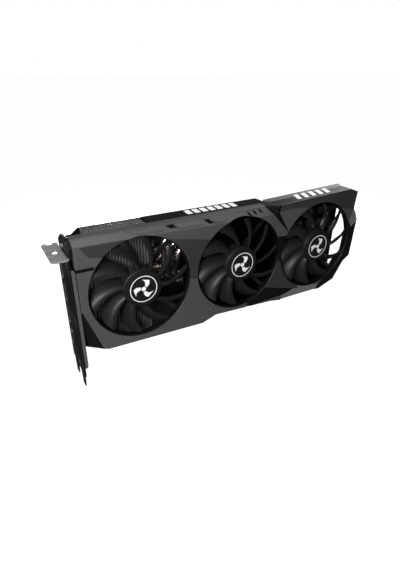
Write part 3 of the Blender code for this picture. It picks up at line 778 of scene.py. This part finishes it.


# Finish numbers: the second and third colour facets darker grey and black as painted shade.
GRAPHITE, SHADED_GREY, SHADE_BLACK, SILVER = range(4)
facets = [
    ([(3.0, 93.8), (18.0, 93.8), (18.0, 96.4), (3.0, 96.4)], at(1.2), SHADE_BLACK),
    ([(78.2, 116.6), (85.7, 116.8), (88.5, 114.1), (82.0, 114.4)], at(2.2), SHADE_BLACK),
    ([(112.8, 116.2), (118.5, 116.2), (123.9, 112.8), (117.2, 112.7)], at(2.2), SHADE_BLACK),
    ([(46.8, 117.0), (66.9, 116.8), (76.8, 114.4), (56.8, 114.6)], at(-0.8), GRAPHITE),
    ([(86.4, 116.8), (109.2, 116.4), (111.7, 113.6), (89.4, 113.8)], at(-0.8), GRAPHITE),
    ([(119.4, 116.2), (132.8, 115.8), (134.7, 113.0), (124.4, 113.0)], at(-0.8), GRAPHITE),
    ([(178.0, 117.4), (206.0, 88.0), (191.0, 110.8), (194.0, 125.0), (178.0, 125.0)], at(1.4), SHADE_BLACK),
    ([(0.0, 113.92), (SLOPE_END, 110.44), (SLOPE_END, 125.0), (0.0, 125.0)], at(0.0), GRAPHITE),
    ([(SLOPE_END, 110.44), (190.0, 110.2), (190.0, 125.0), (SLOPE_END, 125.0)], at(0.0), GRAPHITE),
    ([(3.0, 61.1), (4.7, 61.1), (17.8, 23.4), (17.0, 10.0), (3.0, 10.0)],
     leaning((17.8, 23.4), (4.7, 61.1), 0.0, -0.4), SHADE_BLACK),
    ([(9.0, 113.0), (14.9, 104.4), (24.0, 102.4), (45.0, 95.0), (60.0, 112.7)],
     leaning((9.0, 113.0), (60.0, 112.7), 0.0, 0.09), SHADED_GREY),
    ([(70.0, 108.7), (86.0, 105.5), (124.0, 98.0), (150.0, 92.9), (135.0, 56.0), (107.0, 64.0),
      (98.0, 66.6), (75.0, 73.2)], leaning((86.0, 105.5), (124.0, 98.0), 0.0, 0.05), SHADED_GREY),
    ([(75.0, 73.2), (98.0, 66.6), (107.0, 64.0), (135.0, 56.0), (123.7, 35.3), (112.0, 21.0),
      (83.0, 33.0), (60.0, 42.5)], leaning((83.0, 33.0), (112.0, 21.0), 0.0, -0.05), GRAPHITE),
    ([(165.0, 90.5), (187.0, 88.5), (206.0, 87.0), (225.0, 85.5), (225.0, 60.0), (165.0, 64.0)],
     leaning((187.0, 88.5), (206.0, 87.0), 0.0, 0.06), SHADE_BLACK),
    ([(165.0, 64.0), (225.0, 60.0), (225.0, 25.0), (203.0, 31.0), (183.0, 36.6), (165.0, 41.5)],
     leaning((183.0, 36.6), (203.0, 31.0), 0.0, -0.06), SHADED_GREY),
    ([(203.5, 22.2), (210.1, 23.2), (226.7, 28.8), (254.3, 23.0), (247.0, 10.0), (203.5, 10.0)],
     leaning((205.0, 26.0), (250.5, 26.0), 0.0, 0.18), SILVER),
    ([(284.0, 89.6), (289.5, 104.0), (299.0, 93.5), (297.5, 91.0), (288.9, 81.7)],
     leaning((290.0, 80.0), (284.0, 91.0), 0.0, 0.2), SILVER),
    ([(160.0, 21.0), (204.0, 22.5), (226.7, 28.8), (198.4, 33.2), (184.2, 36.8), (165.0, 41.0)],
     at(0.5), SHADE_BLACK),
    ([(254.3, 23.0), (275.0, 45.0), (284.0, 89.6), (288.9, 81.7), (298.0, 91.0), (299.0, 45.0),
      (287.0, 40.0), (276.0, 20.0), (257.0, 10.0), (247.0, 10.0)], at(0.4), SHADE_BLACK),
    ([(191.0, 111.8), (206.0, 112.9), (221.0, 111.8), (262.0, 106.5), (295.0, 98.0), (295.0, 125.0),
      (193.5, 125.0)], leaning((191.0, 112.0), (262.0, 106.5), 0.0, -0.05), SHADED_GREY),
]
# Three shallow slits, coloured black as painted shade for their depth.
for number in range(3):
    left, low = 156.8 + 6.3 * number, 112.8 + 0.35 * number
    slit = [(left, low + 3.0), (left + 2.2, low + 3.0), (left + 4.4, low), (left + 2.2, low)]
    facets.insert(0, (slit, at(1.8), SHADE_BLACK))


def inset(outline, distance):
    """The outline moved inwards by distance, for points that run clockwise."""
    moved = []
    for i, here in enumerate(outline):
        here, before = Vector(here), Vector(outline[i - 1])
        after = Vector(outline[(i + 1) % len(outline)])
        first, second = (here - before).normalized(), (after - here).normalized()
        inward = (Vector((first.y, -first.x)) + Vector((second.y, -second.x))).normalized()
        moved.append(tuple(here + inward * distance / inward.dot(Vector((first.y, -first.x)))))
    return moved


openings = [circle(centre.x / MM, FAN_Z, FAN_OPENING + RIM) for centre in fan_centres.values()]
form = relief(inset(SHROUD_OUTLINE, RIM), openings, facets, SHROUD_FRONT, top_slope)


def near_fan(place, reach):
    """Whether a point lies within reach of the middle of a fan's opening."""
    return any(math.hypot(place.x - c.x, place.z - c.z) < reach * MM for c in fan_centres.values())


def by_a_fan(place):
    """Whether a point lies at the edge of a fan's opening."""
    return near_fan(place, FAN_OPENING + 2 * RIM)


turn_back(form, by_a_fan, [(0.25, 0.1), (0.4, 0.4), (0.25, 0.6)], SHROUD_FRONT + DUCT_DEPTH)
skin = set(form.faces)
# The rims round the openings are coloured black: painted shade in place of the light they would catch.
for face in form.faces:
    if near_fan(face.calc_center_median(), FAN_OPENING + 0.95 * RIM):
        face.material_index = SHADE_BLACK
turn_back(form, lambda place: place.y < (SHROUD_FRONT + DUCT_DEPTH - 0.1) * MM and not by_a_fan(place),
          [(0.55, 0.1), (0.25, 0.4), (0.1, 0.5)], SHROUD_BACK)
# The duct walls toward the tail and low down are coloured black: painted shade where the lamps would light
# them.
for face in set(form.faces) - skin:
    place = face.calc_center_median() / MM
    if place.x > SHADED_WALLS_FROM or place.z < SHADED_WALLS_BELOW:
        face.material_index = SHADE_BLACK
bmesh.ops.recalc_face_normals(form, faces=form.faces)
front = min(form.faces, key=lambda face: face.calc_center_median().y)
if front.normal.y > 0:
    bmesh.ops.reverse_faces(form, faces=form.faces)
shroud = piece("shroud_shell", form, graphite_abs, charcoal_abs, black_abs, silver_lacquer)
wall = shroud.modifiers.new("wall", "SOLIDIFY")
wall.thickness = SHROUD_WALL * MM
wall.offset = -1.0
fit(shroud, "grey_plastic", "shroud")

# -------------------- light panel
# A separate ABS strip along the top edge at the tail, lacquered light grey and clipped in behind
# the shroud's face. The power plug goes in behind it, and slanted bars are printed on it.

# Light lacquer: paler than the accents, with a soft sheen and a hint of flake.
light_lacquer, tree, shader = finish("light_grey_lacquer", Metallic=0.15, Coat_Roughness=0.3)
surface(tree, shader, ("585859", "626264"), 0.3, 0.006, (0.42, 0.52))

panel_low, panel_high = limits("top_panel")
PANEL_TOP = ((188.0, 117.9), (280.5, 122.0), (290.8, 118.1))
PANEL_WALL = 1.4
RIDGE_SHIFT = (-6.5, 4.3)
RIDGE_DROP = 0.3
FRONT_END_SHIFT = (6.5, 0.0, 0.28)
form = bmesh.new()
edge = [*PANEL_TOP, *[(x, z - PANEL_WALL) for x, z in reversed(PANEL_TOP)]]
sheet(form, "Y", (panel_low.y, panel_high.y), edge)
for vert in form.verts:
    front_end = vert.co.y / MM < panel_low.y + 1
    if abs(vert.co.x / MM - PANEL_TOP[1][0]) < 0.01:
        vert.co.x += (RIDGE_SHIFT[0] if front_end else RIDGE_SHIFT[1]) * MM
        vert.co.z -= RIDGE_DROP * MM if front_end else 0.0
    elif front_end and abs(vert.co.x / MM - PANEL_TOP[0][0]) < 0.01:
        vert.co += Vector(FRONT_END_SHIFT) * MM
panel = soften(piece("light_panel", form, light_lacquer), 0.2)
fit(panel, "silver_plastic", "top_panel")

STROKES = 5
STROKE_START = 216.0
STROKE_PITCH = 9.0
STROKE_WIDTH = 5.0
STROKE_LEAN = 4.5
STROKE_ENDS = (-28.5, -16.0)
INK_GAUGE = 0.05
form = bmesh.new()
rise = (PANEL_TOP[1][1] - PANEL_TOP[0][1]) / (PANEL_TOP[1][0] - PANEL_TOP[0][0])
for number in range(STROKES):
    left = STROKE_START + number * STROKE_PITCH
    top = left + STROKE_LEAN
    front, back = STROKE_ENDS
    corners = []
    for lift in (0.0, INK_GAUGE):
        for x, y in ((left, front), (left + STROKE_WIDTH, front), (top + STROKE_WIDTH, back), (top, back)):
            z = PANEL_TOP[0][1] + (x - PANEL_TOP[0][0]) * rise + lift
            corners.append(form.verts.new(Vector((x, y, z)) * MM))
    form.faces.new(corners[3::-1])
    form.faces.new(corners[4:])
    for i in range(4):
        form.faces.new((corners[i], corners[(i + 1) % 4], corners[4 + (i + 1) % 4], corners[4 + i]))
strokes = piece("panel_strokes", form, white_ink)
fit(strokes, "silver_plastic")

# -------------------- badge bar
# A gloss-black moulding that bridges the board and the shroud along the top edge. It is held by
# the backplate's screws and carries a row of plain printed dashes.

# Gloss ABS: polished in the mould, so it is black with clear reflections and faint haze.
gloss_abs, tree, shader = finish("gloss_black_abs", IOR=1.53, Specular_IOR_Level=0.3)
surface(tree, shader, ("0a0a0b", "0f0f10"), 0.8, 0.004, (0.22, 0.3))

bar_low, bar_high = limits("badge_bar")
form = bmesh.new()
profile = [(bar_low.y, bar_low.z), (bar_high.y, bar_low.z), (bar_high.y, bar_high.z - 0.4)]
profile += [(bar_low.y + 1.5, bar_high.z), (bar_low.y, bar_high.z - 1.5)]
sheet(form, "X", (bar_low.x, bar_high.x), profile)
bar = soften(piece("gloss_bar", form, gloss_abs), 0.4, 3)
fit(bar, "black_plastic", "badge_bar")

DASHES = 7
DASH_START = 107.0
DASH_PITCH = 7.6
DASH_WIDTH = 5.0
DASH_LEAN = 0.8
DASH_ENDS = (-14.5, -4.5)
form = bmesh.new()
for number in range(DASHES):
    left = DASH_START + number * DASH_PITCH
    right = left + DASH_WIDTH
    front, back = DASH_ENDS
    height = bar_high.z + 0.02
    dash = [(left, front), (right, front), (right + DASH_LEAN, back), (left + DASH_LEAN, back)]
    sheet(form, "Z", (height - 0.3, height), dash)
dashes = piece("bar_dashes", form, white_ink)
fit(dashes, "silver_plastic")

# -------------------- slot bracket
# One sheet of steel, punched with its windows and vents, folded over at the top into the ear and
# along the front into a flange. Its face is powder coated black, the flange is painted grey and
# the ear is left plated.

# Powder coat: a fine orange-peel skin, so highlights break into soft grains.
powder_coat, tree, shader = finish("black_powder_coat", IOR=1.5, Specular_IOR_Level=0.15)
surface(tree, shader, ("090909", "0e0e0f"), 0.6, 0.02, (0.36, 0.48))

# Zinc plate: the ear's pale grey metal, with a faint cloudy spangle.
zinc_plate, tree, shader = finish("bright_zinc_plate", Metallic=1.0)
surface(tree, shader, ("c4c4c6", "d6d6d8"), 1.2, 0.004, (0.48, 0.6))

# Grey wet paint on the flange: satin, a match for the shroud that it lies against.
grey_coat, tree, shader = finish("grey_satin_paint", IOR=1.5)
surface(tree, shader, ("4a4a4c", "525254"), 0.5, 0.01, (0.4, 0.5))

BRACKET_Y = (-34.6, 4.1)
BRACKET_TOP = 105.7
GAUGE = 1.0
VENT_WIDTH = 2.2
VENT_PITCH = 3.8
VENT_LENGTH = 36.0
VENT_START = -31.5
SCREW_HOLE = 2.8
PORT_LOWS = (14.7, 36.2, 57.2, 78.2)
PORT_WINDOW = 17.6
front, back = BRACKET_Y
outline = [(front, BRACKET_TOP - 0.6), (front, 0.0), (-30.4, -1.2), (-28.4, -14.3), (-22.4, -14.3),
           (-20.4, -2.0), (-10.1, -2.0), (-8.1, -14.3), (-2.1, -14.3), (-0.1, -1.2), (back, -0.5),
           (back, BRACKET_TOP - 0.6)]
holes = [rounded(rectangle(-9.2, low, -1.5, low + PORT_WINDOW), 0.6, 3) for low in PORT_LOWS]
for low in (10.0, 54.0):
    for number in range(5):
        left = VENT_START + VENT_PITCH * number
        holes.append(rounded(rectangle(left, low, left + VENT_WIDTH, low + VENT_LENGTH), 1.0, 3))
for node in ("bracket_screw_upper", "bracket_screw_lower"):
    low, high = limits(node)
    holes.append(circle((low.y + high.y) / 2, (low.z + high.z) / 2, SCREW_HOLE, 24))
form = bmesh.new()
sheet(form, "X", (0.0, GAUGE), outline, holes)
flange = [(0.5, 8.0), (2.9, 8.0), (3.7, 10.0), (3.7, 95.0), (2.9, 97.0), (0.5, 97.0)]
sheet(form, "Y", (front + 0.1, front + 1.1), flange, (), 2)
SLIT = 0.35
ear = [(-11.4, -32.0)]
for low, reach in ((-22.2, -7.4), (-10.6, -5.4), (-0.4, -6.6)):
    ear += [(-11.4, low), (reach, low), (reach, low + SLIT), (-11.4, low + SLIT)]
ear += [(-11.4, 1.8), (-9.6, 4.0), (-7.2, 4.0), (-7.2, 0.9), (-2.8, 0.9), (-2.8, 4.0), (0.9, 4.0),
        (0.9, -34.5), (-9.4, -34.5)]
slot = rounded([(-7.0, -19.0), (-2.8, -19.0), (-2.8, -12.9), (-7.0, -12.9)], 1.9, 5)
sheet(form, "Z", (BRACKET_TOP - GAUGE, BRACKET_TOP), ear, [slot], 1)
bracket = soften(piece("slot_bracket", form, powder_coat, zinc_plate, grey_coat), 0.25)
fit(bracket, "black_steel", "io_bracket")


def screw(radius, height):
    """A cross-recess screw head that faces -Y, with its seat at y = 0."""
    arm, reach = radius * 0.16, radius * 0.62
    cross = [(-arm, reach), (arm, reach), (arm, arm), (reach, arm), (reach, -arm), (arm, -arm),
             (arm, -reach), (-arm, -reach), (-arm, -arm), (-reach, -arm), (-reach, arm), (-arm, arm)]
    recess = [(cross, at(height * 0.6), 0)]
    made = relief(circle(0, 0, radius * 0.8, 28), [], recess, -height, lambda u, v: 0.0)
    turn_back(made, lambda place: True, [(radius * 0.12, 0.08), (radius * 0.08, 0.22)], 0.0)
    bmesh.ops.recalc_face_normals(made, faces=made.faces)
    return made


FACING = {"-X": Matrix.Rotation(-math.pi / 2, 4, "Z"), "+Y": Matrix.Rotation(math.pi, 4, "Z")}
HEAD_HEIGHT = 1.4


def drive(name, radius, height, place, way, *nodes):
    """Seats a screw's head at a place, facing one way."""
    form = screw(radius, height)
    form.transform(Matrix.Translation(Vector(place) * MM) @ FACING[way])
    fit(piece(name, form, nickel_steel), "bright_steel", *nodes)


for node in ("bracket_screw_upper", "bracket_screw_lower"):
    low, high = limits(node)
    place = (low.x + HEAD_HEIGHT, (low.y + high.y) / 2, (low.z + high.z) / 2)
    drive(node + "_head", (high.z - low.z) / 2, HEAD_HEIGHT, place, "-X", node)

# -------------------- end cap
# A black ABS plate that closes the shroud's left end above the ear. It slides in behind the
# bracket and is held by one bright screw.
cap_low, cap_high = limits("end_cap")
form = bmesh.new()
outline = [(-33.3, cap_low.z), (-1.0, cap_low.z), (-1.0, 111.0), (-11.5, 117.9), (-28.4, 117.9),
           (-33.3, 112.9)]
sheet(form, "X", (cap_low.x, cap_high.x), outline)
end_cap = soften(piece("end_plate", form, black_abs), 0.4)
fit(end_cap, "black_plastic", "end_cap")
CAP_SCREW = (-14.0, 109.6)
drive("end_plate_screw", 2.2, 1.0, (cap_low.x, *CAP_SCREW), "-X")

# -------------------- backplate
# Aluminium sheet, punched and pressed with shallow panels, then coated black. It stiffens the
# board. Its window shows the sprung plate that pulls the cold plate down on the chip.
PLATE_FACE = 4.1
PLATE_GAUGE = 1.2
CHIP = (86.0, 67.0)
WINDOW_HALF = 26
plate_outline = [(4.3, 104.0), (18.0, 115.0), (189.0, 115.0), (194.0, 110.5), (288.0, 110.5),
                 (293.0, 105.5), (293.0, 50.0), (285.0, 44.0), (273.0, 25.0), (255.0, 18.0),
                 (140.0, 14.0), (4.3, 14.4)]
window = rounded(rectangle(*[c - WINDOW_HALF for c in CHIP], *[c + WINDOW_HALF for c in CHIP]), 5.0, 6)
vents = [rounded(rectangle(u, 32.0, u + 8.0, 100.0), 3.9, 6) for u in (226.0, 239.0, 252.0, 265.0)]
panels = [
    (rounded([(128.0, 100.0), (212.0, 100.0), (196.0, 32.0), (128.0, 32.0)], 3.0), at(0.6), 0),
    (rounded([(12.0, 98.0), (50.0, 98.0), (50.0, 34.0), (12.0, 34.0)], 3.0), at(0.6), 0),
]
RIB_START = 134.0
RIB_PITCH = 15.0
for number in range(4):
    left = RIB_START + number * RIB_PITCH
    rib = rounded([(left, 92.0), (left + 7, 92.0), (left + 3, 40.0), (left, 40.0)], 1.5)
    panels.insert(0, (rib, at(0.1), 0))
form = relief(inset(plate_outline, 0.5), [window, *vents], panels, -PLATE_FACE, lambda u, v: 0.0)
turn_back(form, lambda place: True, [(0.15, 0.05), (0.2, 0.2), (0.1, 0.25)], -PLATE_FACE + PLATE_GAUGE)
form.transform(Matrix.Scale(-1, 4, (0, 1, 0)))
bmesh.ops.recalc_face_normals(form, faces=form.faces)
backplate = piece("back_plate", form, powder_coat)
fit(backplate, "black_steel", "backplate")

# Spring steel: a cross of thin plated sheet under four shouldered screws.
dress("spring_plate", nickel_steel)
for node in [f"spring_screw_{n}" for n in range(1, 5)] + [f"backplate_screw_{n}" for n in range(1, 5)]:
    low, high = limits(node)
    place = ((low.x + high.x) / 2, low.y, (low.z + high.z) / 2)
    drive(node + "_head", (high.x - low.x) / 2, high.y - low.y, place, "+Y", node)

# -------------------- table, light and camera
# The card stands on the tips of its bracket and connector on a plain pale table. The main soft
# box is at its front left, with weak ones over it and at the tail, and two low ones behind it.

# Painted board: matt white with a faint unevenness from the roller. The camera sees it evenly lit,
# as a table is when it glows from below, so that it throws little light back on the card.
pale_paint, tree, shader = finish("pale_table_paint", IOR=1.4)
surface(tree, shader, ("4a4a4a", "505050"), 3.0, 0.02, (0.7, 0.8))
shader.inputs["Emission Color"].default_value = (1.0, 1.0, 1.0, 1.0)
glow = add_node(tree, "LightPath").outputs["Is Camera Ray"]
glow = add_node(tree, "Math", {"operation": "MULTIPLY", 1: 0.97}, {0: glow}).outputs[0]
tree.links.new(glow, shader.inputs["Emission Strength"])
TABLE_RADIUS = 12.0
TABLE_GAP = 0.0002
form = bmesh.new()
bmesh.ops.create_circle(form, cap_ends=True, segments=96, radius=TABLE_RADIUS)
table = piece("table", form, pale_paint)
table.location.z = cad_box[0].z - TABLE_GAP

# The studio is a pale room in dim light: bright to look at, but little of it falls on the card.
ROOM_LIGHT = 0.07
world = bpy.data.worlds.new("studio")
world.use_nodes = True
tree = world.node_tree
seen = add_node(tree, "LightPath").outputs["Is Camera Ray"]
level = add_node(tree, "MapRange", {"To Min": ROOM_LIGHT, "To Max": 1.0}, {0: seen}).outputs[0]
tree.nodes["Background"].inputs["Color"].default_value = (1.0, 1.0, 1.0, 1.0)
tree.links.new(level, tree.nodes["Background"].inputs["Strength"])
bpy.context.scene.world = world
bpy.context.scene.view_settings.view_transform = "Standard"

# Each soft box: its name, its place from the card's middle in metres, its width and its power. The
# two behind the card stay below its top edge, so that they don't glance off the faces along it.
centre = (cad_box[0] + cad_box[1]) / 2
for name, offset, size, power in (
    ("left_box", (-0.42, -0.40, 0.27), 0.26, 4.9),
    ("top_box", (-0.12, 0.02, 0.60), 0.40, 1.1),
    ("tail_box", (0.36, 0.12, 0.30), 0.20, 1.0),
    ("back_box", (0.02, 0.50, -0.01), 0.10, 4.0),
    ("right_box", (0.60, 0.24, -0.01), 0.10, 2.5),
):
    lamp = bpy.data.lights.new(name, "AREA")
    lamp.size = size
    lamp.energy = power
    light = bpy.data.objects.new(name, lamp)
    light.location = centre + Vector(offset)
    light.rotation_euler = (-Vector(offset)).to_track_quat("-Z", "Y").to_euler()
    bpy.context.scene.collection.objects.link(light)

LENS = 25.99
CAMERA_PLACE = (-50.23, -310.25, 227.69)
CAMERA_TURN = (62.01, -0.54, -29.55)
lens = bpy.data.cameras.new("camera")
lens.lens = LENS
camera = bpy.data.objects.new("camera", lens)
camera.location = Vector(CAMERA_PLACE) * MM
camera.rotation_euler = [math.radians(angle) for angle in CAMERA_TURN]
bpy.context.scene.collection.objects.link(camera)
bpy.context.scene.camera = camera
